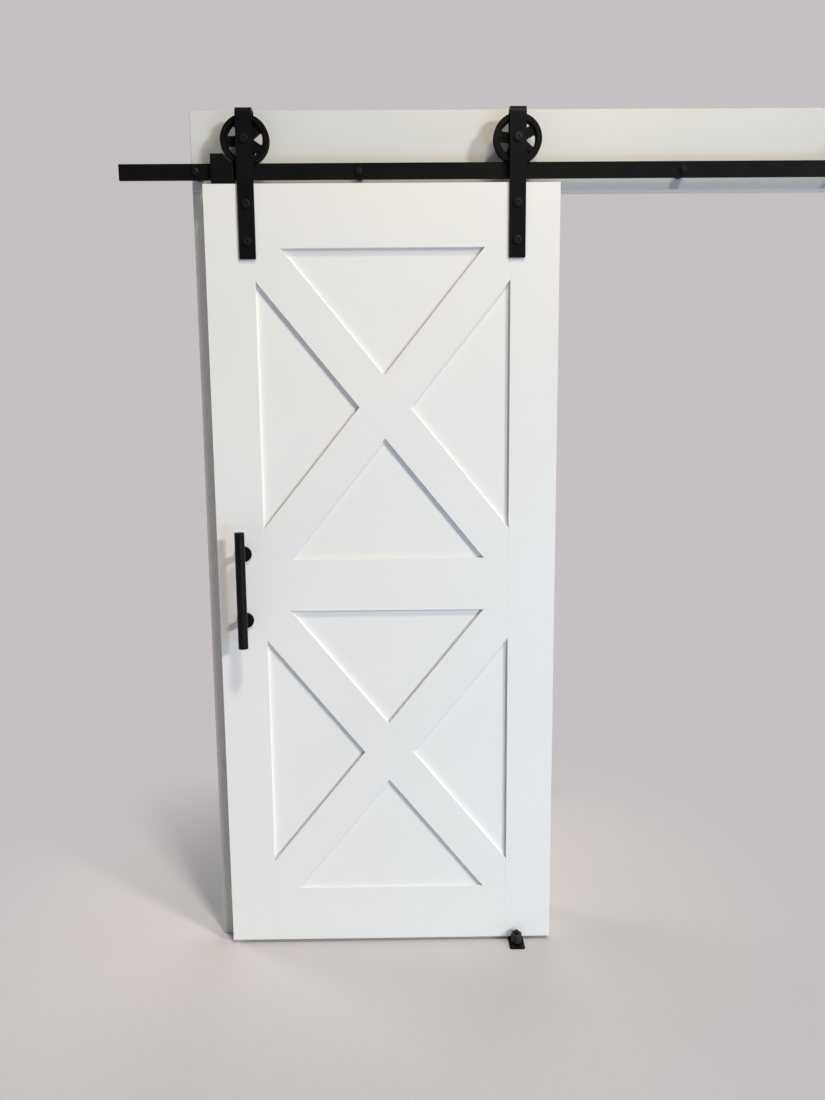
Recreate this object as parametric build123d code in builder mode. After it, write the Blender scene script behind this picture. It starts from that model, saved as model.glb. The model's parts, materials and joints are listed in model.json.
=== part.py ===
from build123d import *

import math
import os

# Sliding barn door: a framed leaf with two crossed-brace fields, hung from spoked wheels on a flat
# rail, with the header board and cased doorway that carry it and the guide on the floor below.
# +X runs along the wall to the side that the door opens to, +Y goes into the wall, +Z is up.
# The origin is on the floor and on the wall's face, below the middle of the closed door.

# Door leaf, millimetres
door_width = 914.4
door_height = 2083.0
door_thickness = 35.0
floor_gap = 12.0
stile_width = 127.0
top_rail_height = 159.0
mid_rail_height = 143.0
mid_rail_rise = 1041.5
bottom_rail_height = 159.0
brace_width = 104.0
panel_thickness = 17.0
groove_depth = 9.0
groove_side_gap = 0.1
groove_end_gap = 0.5
arris = 0.5

# Header board and doorway
header_thickness = 38.0
header_height = 200.5
header_overhang = 21.0
header_drop = 18.5
opening_width = 800.0
opening_centre_x = -20.6
casing_width = 70.0
casing_reveal = 5.0
jamb_thickness = 18.0
jamb_depth = 114.0
board_arris = 1.5

# Rail and its fixings
rail_length = 2057.0
rail_height = 40.0
rail_thickness = 6.0
rail_centre_x = 357.4
rail_above_door = 12.0
rail_end_radius = 1.5
fixing_pitch = 416.0
fixing_count = 5
last_fixing_shift = 40.0
spacer_length = 38.0
spacer_radius = 12.5
lag_radius = 4.0
lag_shank_radius = 3.6
lag_length = 127.0
lag_tip_length = 8.0
lag_head_width = 13.0
lag_head_height = 5.0
lag_washer_radius = 9.5
lag_washer_thickness = 1.5
fixing_hole_gap = 0.3

# Wheels and their bearings
tread_radius = 55.7
flange_radius = 62.0
wheel_width = 20.0
tread_gap = 0.3
groove_floor_width = 7.4
groove_mouth_width = 11.0
flange_chamfer = 1.5
rim_inner_radius = 49.0
window_reach = 45.0
web_thickness = 8.0
spoke_count = 5
spoke_width = 24.0
spoke_ridge_width = 7.0
spoke_ridge_height = 1.5
window_corner_radius = 2.5
hub_radius = 20.0
hub_lip_radius = 12.0
hub_lip_width = 5.0
left_window_angle = 3.5
right_window_angle = -7.5
bearing_radius = 16.0
bearing_width = 10.0
bearing_split_radius = 9.0
bearing_seat_gap = 0.03
bearing_play = 0.06
axle_radius = 6.0
axle_fit_gap = 0.04
axle_head_radius = 10.5
axle_head_height = 4.0
axle_head_dome = 1.4
axle_socket_width = 6.0
axle_socket_depth = 2.2
axle_nut_width = 19.0
axle_nut_height = 7.0
axle_tail = 2.0
axle_spacer_radius = 8.5

# Hangers and the bolts that hold them on the door
hanger_inset = 110.0
hanger_width = 42.0
hanger_thickness = 5.0
hanger_side_gap = 4.0
hanger_rise = 186.5
hanger_drop = 186.0
hanger_tail_drop = 32.0
hanger_corner_radius = 2.0
door_bolt_radius = 4.0
door_bolt_drops = (50.0, 142.0)
door_bolt_head_radius = 10.5
door_bolt_head_height = 4.0
door_bolt_dome = 1.4
door_bolt_socket_width = 6.0
door_bolt_socket_depth = 2.2
door_bolt_tail = 1.9
door_nut_width = 13.0
door_nut_height = 6.5
door_washer_radius = 8.5
door_washer_thickness = 1.6
bolt_hole_gap = 0.25
nut_fit_gap = 0.04

# Travel and end stops
door_travel = 775.0
stop_to_axle = 31.5
stop_width = 57.0
stop_rise = 22.3
stop_drop = 8.5
stop_cheek = 9.0
stop_slot_gap = 0.1
stop_edge = 1.0
bumper_thickness = 3.0
bumper_gap = 0.3
bumper_seat_gap = 0.05
bumper_margin = 2.0
set_screw_radius = 3.0
set_screw_gap = 0.05
set_screw_drop = 12.0
set_screw_socket_width = 3.0
set_screw_socket_depth = 3.0

# Pull handle
pull_inset = 71.2
pull_rise = 1050.0
pull_radius = 13.2
pull_length = 314.0
pull_edge = 1.2
pull_standoff = 56.0
pull_post_spacing = 183.0
pull_post_radius = 9.0
pull_seat_gap = 0.03
rosette_radius = 21.5
rosette_thickness = 6.0
rosette_edge = 1.5
pull_screw_radius = 3.0
pull_screw_head_radius = 6.0
pull_screw_head_height = 3.5
pull_screw_head_edge = 1.2
pull_screw_reach = 22.0

# Floor guide
guide_x = 360.5
guide_base_width = 43.0
guide_base_thickness = 4.0
guide_base_margin = 15.0
guide_base_corner = 5.0
guide_base_edge = 0.6
roller_radius = 15.0
roller_height = 26.0
roller_edge = 2.0
roller_side_gap = 0.3
roller_end_gap = 0.3
roller_bore_gap = 0.06
guide_axle_radius = 4.0
guide_collar_radius = 7.0
guide_collar_height = 1.2
guide_thread_radius = 3.0
guide_thread_length = 6.0
guide_fit_gap = 0.04
guide_washer_radius = 7.0
guide_washer_thickness = 1.0
cap_nut_width = 13.0
cap_nut_height = 5.0
cap_dome_radius = 5.6
cap_dome_height = 4.3
cap_dome_edge = 3.8
floor_screw_radius = 2.5
floor_screw_neck_radius = 2.2
floor_screw_length = 30.0
floor_screw_tip_length = 5.0
floor_screw_head_radius = 5.0
floor_screw_head_height = 2.4
floor_screw_head_edge = 1.2
floor_screw_spacing = 24.0
floor_screw_inset = 8.0

# Places that follow from the sizes
header_front_y = -header_thickness
rail_back_y = header_front_y - spacer_length
rail_front_y = rail_back_y - rail_thickness
rail_mid_y = (rail_back_y + rail_front_y) / 2
hanger_gap = wheel_width + 2 * hanger_side_gap
leg_front_y = rail_mid_y - hanger_gap / 2
leg_back_y = rail_mid_y + hanger_gap / 2
strap_front_y = leg_front_y - hanger_thickness
strap_back_y = leg_back_y + hanger_thickness
door_front_y = leg_front_y
door_back_y = door_front_y + door_thickness
door_mid_y = (door_front_y + door_back_y) / 2
door_bottom_z = floor_gap
door_top_z = door_bottom_z + door_height
rail_bottom_z = door_top_z + rail_above_door
rail_top_z = rail_bottom_z + rail_height
rail_mid_z = (rail_bottom_z + rail_top_z) / 2
axle_z = rail_top_z + tread_gap + tread_radius
hanger_x = door_width / 2 - hanger_inset
pull_x = pull_inset - door_width / 2
header_bottom_z = rail_bottom_z - header_drop
opening_height = header_bottom_z - casing_reveal
opening_left_x = opening_centre_x - opening_width / 2
opening_right_x = opening_centre_x + opening_width / 2
casing_left_x = opening_left_x - casing_reveal - casing_width
# The last fixing is shifted outwards, clear of the right end stop.
fixing_xs = [rail_centre_x + (i - (fixing_count - 1) / 2) * fixing_pitch for i in range(fixing_count)]
fixing_xs[-1] += last_fixing_shift
header_right_x = fixing_xs[-1] + header_overhang
groove_width = panel_thickness + 2 * groove_side_gap
tongue_length = groove_depth - groove_end_gap
clear_width = door_width - 2 * stile_width
pull_post_zs = (pull_rise - pull_post_spacing / 2, pull_rise + pull_post_spacing / 2)

pieces = {}


def keep(name, builder):
    """Label a finished sub-part and keep it for writing."""
    builder.part.label = name
    pieces[name] = builder.part


def keep_group(name, piece, places):
    """Keep a row of like pieces, each a separate solid, as one sub-part."""
    with BuildPart() as group:
        with Locations(*places):
            add(piece.part)
    keep(name, group)


def upright(y):
    """Upright plane at depth y, seen from the front: its x is X, its y is Z, and it faces -Y."""
    return Plane.XZ.offset(-y)


def bar_y(x, z, shape, low_y, high_y, mode=Mode.ADD):
    """Bar along Y between two depths, with the section that the given sketch function draws."""
    with BuildSketch(upright(high_y)) as section:
        with Locations((x, z)):
            shape()
    extrude(section.sketch, amount=high_y - low_y, mode=mode)


def rod_y(x, z, radius, low_y, high_y, mode=Mode.ADD):
    """Round bar along Y between two depths."""
    bar_y(x, z, lambda: Circle(radius), low_y, high_y, mode)


def hex_y(x, z, width, low_y, high_y, mode=Mode.ADD):
    """Hexagonal bar along Y between two depths, its width taken across the flats."""
    bar_y(x, z, lambda: RegularPolygon(width / 2, 6, major_radius=False), low_y, high_y, mode)


def plate_y(low_x, high_x, low_z, high_z, low_y, high_y, mode=Mode.ADD):
    """Rectangular block between two depths."""
    x = (low_x + high_x) / 2
    z = (low_z + high_z) / 2
    bar_y(x, z, lambda: Rectangle(high_x - low_x, high_z - low_z), low_y, high_y, mode)


def ring_y(x, z, outer_radius, inner_radius, low_y, high_y):
    """Ring about a line along Y, between two depths."""
    with BuildPart() as ring:
        rod_y(x, z, outer_radius, low_y, high_y)
        rod_y(x, z, inner_radius, low_y, high_y, Mode.SUBTRACT)
    return ring


# Door leaf: each member has the same outline on its front and back, and between them a core that
# is cut back along the grooves and runs out as tongues at the ends.
def rectangle_sketch(low_x, high_x, low_z, high_z):
    """Upright rectangle."""
    with BuildSketch() as sketch:
        with Locations(((low_x + high_x) / 2, (low_z + high_z) / 2)):
            Rectangle(high_x - low_x, high_z - low_z)
    return sketch.sketch


def band_sketch(low_z, high_z, margin, band, turn):
    """Diagonal band of one clear field of the leaf, kept within the field and a margin round it."""
    height = high_z - low_z
    slope = turn * math.degrees(math.atan2(height, clear_width))
    with BuildSketch() as sketch:
        with Locations((0, (low_z + high_z) / 2)):
            Rectangle(clear_width + 2 * margin, height + 2 * margin)
            Rectangle(2 * (clear_width + height), band, rotation=slope, mode=Mode.INTERSECT)
    return sketch.sketch


def framed_member(face, core, lap=None, lap_back_y=door_back_y, holes=()):
    """Member of the leaf, from its face outline, its core outline, its half lap and its holes."""
    with BuildPart() as member:
        with BuildSketch(upright(door_back_y)):
            add(face)
        extrude(amount=door_thickness)
        with BuildSketch(upright(door_mid_y + groove_width / 2)):
            add(face)
            add(core, mode=Mode.SUBTRACT)
        extrude(amount=groove_width, mode=Mode.SUBTRACT)
        with BuildSketch(upright(door_mid_y + panel_thickness / 2)):
            add(core)
        extrude(amount=panel_thickness)
        if lap:
            with BuildSketch(upright(lap_back_y)):
                add(lap)
            extrude(amount=door_thickness / 2, mode=Mode.SUBTRACT)
        skins = member.faces().filter_by(Axis.Y).group_by(Axis.Y)
        chamfer(skins[0].edges() + skins[-1].edges(), arris)
        for x, z, radius in holes:
            rod_y(x, z, radius, door_front_y, door_back_y, Mode.SUBTRACT)
    return member


def stile(side):
    """Upright edge of the leaf, with a groove along its inner edge and its bolt holes."""
    outer_x = side * door_width / 2
    inner_x = side * clear_width / 2
    core_x = inner_x + side * groove_depth
    face = rectangle_sketch(min(inner_x, outer_x), max(inner_x, outer_x), door_bottom_z, door_top_z)
    core = rectangle_sketch(min(core_x, outer_x), max(core_x, outer_x), door_bottom_z, door_top_z)
    hole_radius = door_bolt_radius + bolt_hole_gap
    holes = [(side * hanger_x, door_top_z - drop, hole_radius) for drop in door_bolt_drops]
    if side < 0:
        holes += [(pull_x, z, pull_screw_radius + bolt_hole_gap) for z in pull_post_zs]
    return framed_member(face, core, holes=holes)


def cross_rail(low_z, high_z, groove_below, groove_above):
    """Level member between the stiles, with grooves on the edges that hold panels."""
    half = clear_width / 2
    face = rectangle_sketch(-half, half, low_z, high_z)
    core_low = low_z + groove_depth * groove_below
    core_high = high_z - groove_depth * groove_above
    core = rectangle_sketch(-half - tongue_length, half + tongue_length, core_low, core_high)
    return framed_member(face, core)


mid_rail_low_z = door_bottom_z + mid_rail_rise - mid_rail_height / 2
mid_rail_high_z = mid_rail_low_z + mid_rail_height
lower_field = (door_bottom_z + bottom_rail_height, mid_rail_low_z)
upper_field = (mid_rail_high_z, door_top_z - top_rail_height)
keep("stile_left", stile(-1))
keep("stile_right", stile(1))
keep("bottom_rail", cross_rail(door_bottom_z, lower_field[0], 0, 1))
keep("mid_rail", cross_rail(lower_field[1], upper_field[0], 1, 1))
keep("top_rail", cross_rail(upper_field[1], door_top_z, 1, 0))

for place, field in (("upper", upper_field), ("lower", lower_field)):
    core_band = brace_width - 2 * groove_depth
    falling_face = band_sketch(*field, 0, brace_width, -1)
    rising_face = band_sketch(*field, 0, brace_width, 1)
    falling_core = band_sketch(*field, tongue_length, core_band, -1)
    rising_core = band_sketch(*field, tongue_length, core_band, 1)
    keep(f"{place}_brace_falling", framed_member(falling_face, falling_core, rising_face, door_back_y))
    keep(f"{place}_brace_rising", framed_member(rising_face, rising_core, falling_face, door_mid_y))

    # The panels are what the braces leave of the field, let into all the grooves round them.
    half = clear_width / 2 + tongue_length
    panel_band = brace_width - 2 * tongue_length
    with BuildSketch() as panels:
        add(rectangle_sketch(-half, half, field[0] - tongue_length, field[1] + tongue_length))
        for turn in (-1, 1):
            add(band_sketch(*field, 2 * groove_depth, panel_band, turn), mode=Mode.SUBTRACT)
    by_height = panels.faces().sort_by(Axis.Y)
    by_side = panels.faces().sort_by(Axis.X)
    outlines = {"bottom": by_height[0], "top": by_height[-1], "left": by_side[0], "right": by_side[-1]}
    for edge, outline in outlines.items():
        with BuildPart() as panel:
            with BuildSketch(upright(door_mid_y + panel_thickness / 2)):
                add(outline)
            extrude(amount=panel_thickness)
        keep(f"{place}_panel_{edge}", panel)


# Header board, casing and jambs
def frame_board(low, high, holes=()):
    """Square board between two corners, with its front edges eased."""
    with BuildPart() as board:
        plate_y(low[0], high[0], low[2], high[2], low[1], high[1])
        chamfer(board.faces().sort_by(Axis.Y)[0].edges(), board_arris)
        for x, z, radius in holes:
            rod_y(x, z, radius, low[1], high[1], Mode.SUBTRACT)
    return board


header_low = (casing_left_x, header_front_y, header_bottom_z)
header_high = (header_right_x, 0, header_bottom_z + header_height)
header_holes = [(x, rail_mid_z, lag_radius + fixing_hole_gap) for x in fixing_xs]
keep("header_board", frame_board(header_low, header_high, header_holes))
for name, low_x in (("casing_left", casing_left_x), ("casing_right", opening_right_x + casing_reveal)):
    keep(name, frame_board((low_x, header_front_y, 0), (low_x + casing_width, 0, header_bottom_z)))
for name, low_x in (("jamb_left", opening_left_x - jamb_thickness), ("jamb_right", opening_right_x)):
    keep(name, frame_board((low_x, 0, 0), (low_x + jamb_thickness, jamb_depth, opening_height)))
head_jamb_low = (opening_left_x - jamb_thickness, 0, opening_height)
head_jamb_high = (opening_right_x + jamb_thickness, jamb_depth, opening_height + jamb_thickness)
keep("head_jamb", frame_board(head_jamb_low, head_jamb_high))

# Rail with its spacers, washers and lag screws
with BuildPart() as rail:
    rail_left_x = rail_centre_x - rail_length / 2
    plate_y(rail_left_x, rail_left_x + rail_length, rail_bottom_z, rail_top_z, rail_front_y, rail_back_y)
    fillet(rail.edges().filter_by(Axis.Y), rail_end_radius)
    for x in fixing_xs:
        rod_y(x, rail_mid_z, lag_radius + fixing_hole_gap, rail_front_y, rail_back_y, Mode.SUBTRACT)
keep("rail", rail)

fixing_places = [(x, 0, rail_mid_z) for x in fixing_xs]
washer_front_y = rail_front_y - lag_washer_thickness
fixing_bore = lag_radius + fixing_hole_gap
spacer = ring_y(0, 0, spacer_radius, fixing_bore, rail_back_y, header_front_y)
keep_group("rail_spacers", spacer, fixing_places)
washer = ring_y(0, 0, lag_washer_radius, fixing_bore, washer_front_y, rail_front_y)
keep_group("rail_washers", washer, fixing_places)


def pointed_shank(neck_radius, radius, low, thread_low, tip, tip_length):
    """Half section of a wood screw's shank along the sketch's y: a plain neck, the thread, the point."""
    with BuildSketch() as section:
        with BuildLine():
            Polyline(
                (0, low), (neck_radius, low), (neck_radius, thread_low), (radius, thread_low),
                (radius, tip - tip_length), (0, tip), close=True,
            )
        make_face()
    return section.sketch


# The lag screw's thread starts at the wall's face, behind the header board.
with BuildPart() as lag_screw:
    lag_tip_y = washer_front_y + lag_length
    hex_y(0, 0, lag_head_width, washer_front_y - lag_head_height, washer_front_y)
    with BuildSketch():
        add(pointed_shank(lag_shank_radius, lag_radius, washer_front_y, 0, lag_tip_y, lag_tip_length))
    revolve(axis=Axis.Y)
keep_group("rail_lag_screws", lag_screw, fixing_places)


# Wheels, bearings and axles
def wheel(x, window_angle):
    """Grooved wheel with parallel-sided spokes, a bearing seat in its hub and a lip before it."""
    half = wheel_width / 2
    web = web_thickness / 2
    floor_half = groove_floor_width / 2
    mouth_half = groove_mouth_width / 2
    seat_radius = bearing_radius + bearing_seat_gap
    lip = hub_lip_width - half
    shoulder = half - flange_chamfer
    section = [
        (-half, hub_lip_radius), (lip, hub_lip_radius), (lip, seat_radius), (half, seat_radius),
        (half, hub_radius), (web, hub_radius), (web, rim_inner_radius), (half, rim_inner_radius),
        (half, flange_radius - flange_chamfer), (shoulder, flange_radius), (mouth_half, flange_radius),
        (floor_half, tread_radius), (-floor_half, tread_radius), (-mouth_half, flange_radius),
        (-shoulder, flange_radius), (-half, flange_radius - flange_chamfer), (-half, rim_inner_radius),
        (-web, rim_inner_radius), (-web, hub_radius), (-half, hub_radius),
    ]
    half_turn = 180 / spoke_count
    apex = spoke_width / 2 / math.sin(math.radians(half_turn))
    reach_x = apex + flange_radius * math.cos(math.radians(half_turn))
    reach_y = flange_radius * math.sin(math.radians(half_turn))
    with BuildSketch() as window:
        Circle(window_reach)
        with BuildLine():
            Polyline((apex, 0), (reach_x, reach_y), (reach_x, -reach_y), close=True)
        make_face(mode=Mode.INTERSECT)
        Circle(hub_radius, mode=Mode.SUBTRACT)
        fillet(window.vertices(), window_corner_radius)
    ridge = web + spoke_ridge_height
    ridge_middle = (hub_radius + rim_inner_radius) / 2
    with BuildPart() as built:
        with BuildSketch(Plane((x, rail_mid_y, axle_z), x_dir=(0, 1, 0), z_dir=(1, 0, 0))):
            with BuildLine():
                Polyline(*section, close=True)
            make_face()
        revolve(axis=Axis((x, 0, axle_z), (0, 1, 0)))
        with BuildSketch(Plane((x, rail_mid_y + web, axle_z), x_dir=(1, 0, 0), z_dir=(0, -1, 0))):
            with PolarLocations(0, spoke_count, start_angle=window_angle):
                add(window.sketch)
        extrude(amount=web_thickness, mode=Mode.SUBTRACT)
        with BuildSketch(Plane((x, rail_mid_y + ridge, axle_z), x_dir=(1, 0, 0), z_dir=(0, -1, 0))):
            with PolarLocations(ridge_middle, spoke_count, start_angle=window_angle + half_turn):
                Rectangle(rim_inner_radius - hub_radius + 2, spoke_ridge_width)
        extrude(amount=2 * ridge)
    return built


bearing_front_y = rail_mid_y - wheel_width / 2 + hub_lip_width
bearing_back_y = bearing_front_y + bearing_width
axle_bore = axle_radius + axle_fit_gap
race_bore = bearing_split_radius + bearing_play
for side, name, window_angle in ((-1, "left", left_window_angle), (1, "right", right_window_angle)):
    x = side * hanger_x
    keep(f"wheel_{name}", wheel(x, window_angle))
    outer_ring = ring_y(x, axle_z, bearing_radius, race_bore, bearing_front_y, bearing_back_y)
    keep(f"bearing_outer_{name}", outer_ring)
    inner_ring = ring_y(x, axle_z, bearing_split_radius, axle_bore, bearing_front_y, bearing_back_y)
    keep(f"bearing_inner_{name}", inner_ring)
    with BuildPart() as axle:
        head_y = strap_front_y - axle_head_height
        rod_y(x, axle_z, axle_head_radius, head_y, strap_front_y)
        fillet(axle.edges().group_by(Axis.Y)[0], axle_head_dome)
        hex_y(x, axle_z, axle_socket_width, head_y, head_y + axle_socket_depth, Mode.SUBTRACT)
        rod_y(x, axle_z, axle_radius, strap_front_y, strap_back_y + axle_nut_height + axle_tail)
    keep(f"axle_{name}", axle)

with BuildPart() as axle_spacers:
    for side in (-1, 1):
        for low_y, high_y in ((leg_front_y, bearing_front_y), (bearing_back_y, leg_back_y)):
            rod_y(side * hanger_x, axle_z, axle_spacer_radius, low_y, high_y)
            rod_y(side * hanger_x, axle_z, axle_bore, low_y, high_y, Mode.SUBTRACT)
keep("axle_spacers", axle_spacers)

with BuildPart() as axle_nut:
    hex_y(0, 0, axle_nut_width, strap_back_y, strap_back_y + axle_nut_height)
    rod_y(0, 0, axle_bore, strap_back_y, strap_back_y + axle_nut_height, Mode.SUBTRACT)
keep_group("axle_nuts", axle_nut, [(side * hanger_x, 0, axle_z) for side in (-1, 1)])

# Hangers: one strap each, down the door's front and bent over the wheel to a short leg behind it
bend_radius = hanger_gap / 2 + hanger_thickness
bend_z = door_top_z + hanger_rise - bend_radius
leg_feet = ((strap_front_y, door_top_z - hanger_drop), (leg_back_y, axle_z - hanger_tail_drop))
strap_hole_radius = door_bolt_radius + bolt_hole_gap
for side, name in ((-1, "left"), (1, "right")):
    x = side * hanger_x
    with BuildPart() as hanger:
        with BuildSketch(Plane.YZ.offset(x - hanger_width / 2)):
            with Locations((rail_mid_y, bend_z)):
                Circle(bend_radius)
                Circle(hanger_gap / 2, mode=Mode.SUBTRACT)
                below = (Align.CENTER, Align.MAX)
                Rectangle(3 * bend_radius, 2 * bend_radius, align=below, mode=Mode.SUBTRACT)
            for low_y, low_z in leg_feet:
                with Locations((low_y, low_z)):
                    Rectangle(hanger_thickness, bend_z - low_z, align=(Align.MIN, Align.MIN))
        extrude(amount=hanger_width)
        feet = hanger.edges().filter_by(Axis.Y).filter_by(lambda edge: edge.center().Z < axle_z)
        fillet(feet, hanger_corner_radius)
        rod_y(x, axle_z, axle_bore, strap_front_y, strap_back_y, Mode.SUBTRACT)
        for drop in door_bolt_drops:
            rod_y(x, door_top_z - drop, strap_hole_radius, strap_front_y, leg_front_y, Mode.SUBTRACT)
    keep(f"hanger_{name}", hanger)

bolt_places = [(side * hanger_x, 0, door_top_z - drop) for side in (-1, 1) for drop in door_bolt_drops]
bolt_head_y = strap_front_y - door_bolt_head_height
bolt_socket_y = bolt_head_y + door_bolt_socket_depth
door_nut_front_y = door_back_y + door_washer_thickness
door_nut_back_y = door_nut_front_y + door_nut_height
with BuildPart() as door_bolt:
    rod_y(0, 0, door_bolt_head_radius, bolt_head_y, strap_front_y)
    fillet(door_bolt.edges().group_by(Axis.Y)[0], door_bolt_dome)
    hex_y(0, 0, door_bolt_socket_width, bolt_head_y, bolt_socket_y, Mode.SUBTRACT)
    rod_y(0, 0, door_bolt_radius, strap_front_y, door_nut_back_y + door_bolt_tail)
keep_group("door_bolts", door_bolt, bolt_places)
washer = ring_y(0, 0, door_washer_radius, strap_hole_radius, door_back_y, door_nut_front_y)
keep_group("door_bolt_washers", washer, bolt_places)
with BuildPart() as door_nut:
    hex_y(0, 0, door_nut_width, door_nut_front_y, door_nut_back_y)
    rod_y(0, 0, door_bolt_radius + nut_fit_gap, door_nut_front_y, door_nut_back_y, Mode.SUBTRACT)
keep_group("door_bolt_nuts", door_nut, bolt_places)

# End stops: a saddle over the rail, hollowed to the wheel's rim and lined with a rubber pad
stop_low_z = rail_bottom_z - stop_drop
stop_high_z = rail_top_z + stop_rise
slot_high_z = rail_top_z + stop_slot_gap
slot_front_y = rail_front_y - stop_slot_gap
slot_back_y = rail_back_y + stop_slot_gap
stop_front_y = slot_front_y - stop_cheek
stop_back_y = slot_back_y + stop_cheek
pad_front_y = rail_mid_y - wheel_width / 2
pad_height = stop_rise - 2 * bumper_margin
pad_inner_radius = flange_radius + bumper_gap
pad_outer_radius = pad_inner_radius + bumper_thickness
set_screw_z = rail_mid_z - set_screw_drop
stop_xs = []
for side, name, wheel_x in ((-1, "left", -hanger_x), (1, "right", hanger_x + door_travel)):
    stop_x = wheel_x + side * (stop_to_axle + stop_width / 2)
    low_x = stop_x - stop_width / 2
    high_x = stop_x + stop_width / 2
    stop_xs.append(stop_x)
    with BuildPart() as stop:
        plate_y(low_x, high_x, stop_low_z, stop_high_z, stop_front_y, stop_back_y)
        rod_y(wheel_x, axle_z, pad_outer_radius + bumper_seat_gap, stop_front_y, stop_back_y, Mode.SUBTRACT)
        chamfer(stop.faces().filter_by(Axis.Y).edges(), stop_edge)
        plate_y(low_x, high_x, stop_low_z, slot_high_z, slot_front_y, slot_back_y, Mode.SUBTRACT)
        rod_y(stop_x, set_screw_z, set_screw_radius + set_screw_gap, slot_back_y, stop_back_y, Mode.SUBTRACT)
    keep(f"end_stop_{name}", stop)
    with BuildPart() as bumper:
        with BuildSketch(upright(pad_front_y + wheel_width)):
            with Locations((wheel_x, axle_z)):
                Circle(pad_outer_radius)
                Circle(pad_inner_radius, mode=Mode.SUBTRACT)
            with Locations((stop_x, rail_top_z + stop_rise / 2)):
                Rectangle(stop_width, pad_height, mode=Mode.INTERSECT)
        extrude(amount=wheel_width)
    keep(f"stop_bumper_{name}", bumper)

with BuildPart() as set_screw:
    rod_y(0, 0, set_screw_radius, rail_back_y, stop_back_y)
    socket_front_y = stop_back_y - set_screw_socket_depth
    hex_y(0, 0, set_screw_socket_width, socket_front_y, stop_back_y, Mode.SUBTRACT)
keep_group("stop_set_screws", set_screw, [(x, 0, set_screw_z) for x in stop_xs])

# Pull handle: a round bar on two posts, each with a rosette, screwed from behind the leaf
pull_y = door_front_y - pull_standoff
pull_low = Plane((pull_x, pull_y, pull_rise - pull_length / 2))
pull_places = [(pull_x, 0, z) for z in pull_post_zs]
screw_tip_y = door_front_y - pull_screw_reach
with BuildPart() as pull_bar:
    with BuildSketch(pull_low):
        Circle(pull_radius)
    extrude(amount=pull_length)
    fillet(pull_bar.edges().filter_by(GeomType.CIRCLE), pull_edge)
keep("pull_bar", pull_bar)

with BuildPart() as pull_posts:
    for z in pull_post_zs:
        rod_y(pull_x, z, pull_post_radius, pull_y, door_front_y)
        rod_y(pull_x, z, pull_screw_radius + pull_seat_gap, screw_tip_y, door_front_y, Mode.SUBTRACT)
    with BuildSketch(pull_low):
        Circle(pull_radius + pull_seat_gap)
    extrude(amount=pull_length, mode=Mode.SUBTRACT)
keep("pull_posts", pull_posts)

rosette_front_y = door_front_y - rosette_thickness
with BuildPart() as rosette:
    rod_y(0, 0, rosette_radius, rosette_front_y, door_front_y)
    fillet(rosette.edges().group_by(Axis.Y)[0], rosette_edge)
    rod_y(0, 0, pull_post_radius + pull_seat_gap, rosette_front_y, door_front_y, Mode.SUBTRACT)
keep_group("pull_rosettes", rosette, pull_places)

with BuildPart() as pull_screw:
    rod_y(0, 0, pull_screw_head_radius, door_back_y, door_back_y + pull_screw_head_height)
    fillet(pull_screw.edges().group_by(Axis.Y)[-1], pull_screw_head_edge)
    rod_y(0, 0, pull_screw_radius, screw_tip_y, door_back_y)
keep_group("pull_screws", pull_screw, pull_places)

# Floor guide: a base plate with a roller on each side of the leaf
roller_front_y = door_front_y - roller_side_gap - roller_radius
roller_back_y = door_back_y + roller_side_gap + roller_radius
base_front_y = roller_front_y - roller_radius - guide_base_margin
base_back_y = roller_back_y + roller_radius + guide_base_margin
base_mid_y = (base_front_y + base_back_y) / 2
collar_top_z = guide_base_thickness + guide_collar_height
roller_low_z = collar_top_z + roller_end_gap
shoulder_z = roller_low_z + roller_height + roller_end_gap
nut_low_z = shoulder_z + guide_washer_thickness
guide_places = [(guide_x, roller_front_y, 0), (guide_x, roller_back_y, 0)]
half_spacing = floor_screw_spacing / 2
floor_screw_places = [
    (guide_x + shift, y, 0)
    for y in (base_front_y + floor_screw_inset, base_back_y - floor_screw_inset)
    for shift in (-half_spacing, half_spacing)
]


def post_z(radius, low_z, high_z, mode=Mode.ADD):
    """Round bar along Z between two heights, at the origin."""
    with BuildSketch(Plane.XY.offset(low_z)) as section:
        Circle(radius)
    extrude(section.sketch, amount=high_z - low_z, mode=mode)


with BuildPart() as guide_base:
    with BuildSketch():
        with Locations((guide_x, base_mid_y)):
            RectangleRounded(guide_base_width, base_back_y - base_front_y, guide_base_corner)
    extrude(amount=guide_base_thickness)
    chamfer(guide_base.faces().sort_by(Axis.Z)[-1].edges(), guide_base_edge)
    with Locations(*guide_places):
        Hole(guide_axle_radius + guide_fit_gap)
    with Locations(*floor_screw_places):
        Hole(floor_screw_radius + bolt_hole_gap)
keep("guide_base", guide_base)

with BuildPart() as guide_axle:
    post_z(guide_axle_radius, 0, shoulder_z)
    post_z(guide_collar_radius, guide_base_thickness, collar_top_z)
    post_z(guide_thread_radius, shoulder_z, shoulder_z + guide_thread_length)
keep_group("guide_axles", guide_axle, guide_places)

guide_thread_bore = guide_thread_radius + guide_fit_gap
with BuildPart() as guide_washer:
    post_z(guide_washer_radius, shoulder_z, nut_low_z)
    post_z(guide_thread_bore, shoulder_z, nut_low_z, Mode.SUBTRACT)
keep_group("guide_washers", guide_washer, guide_places)

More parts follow.
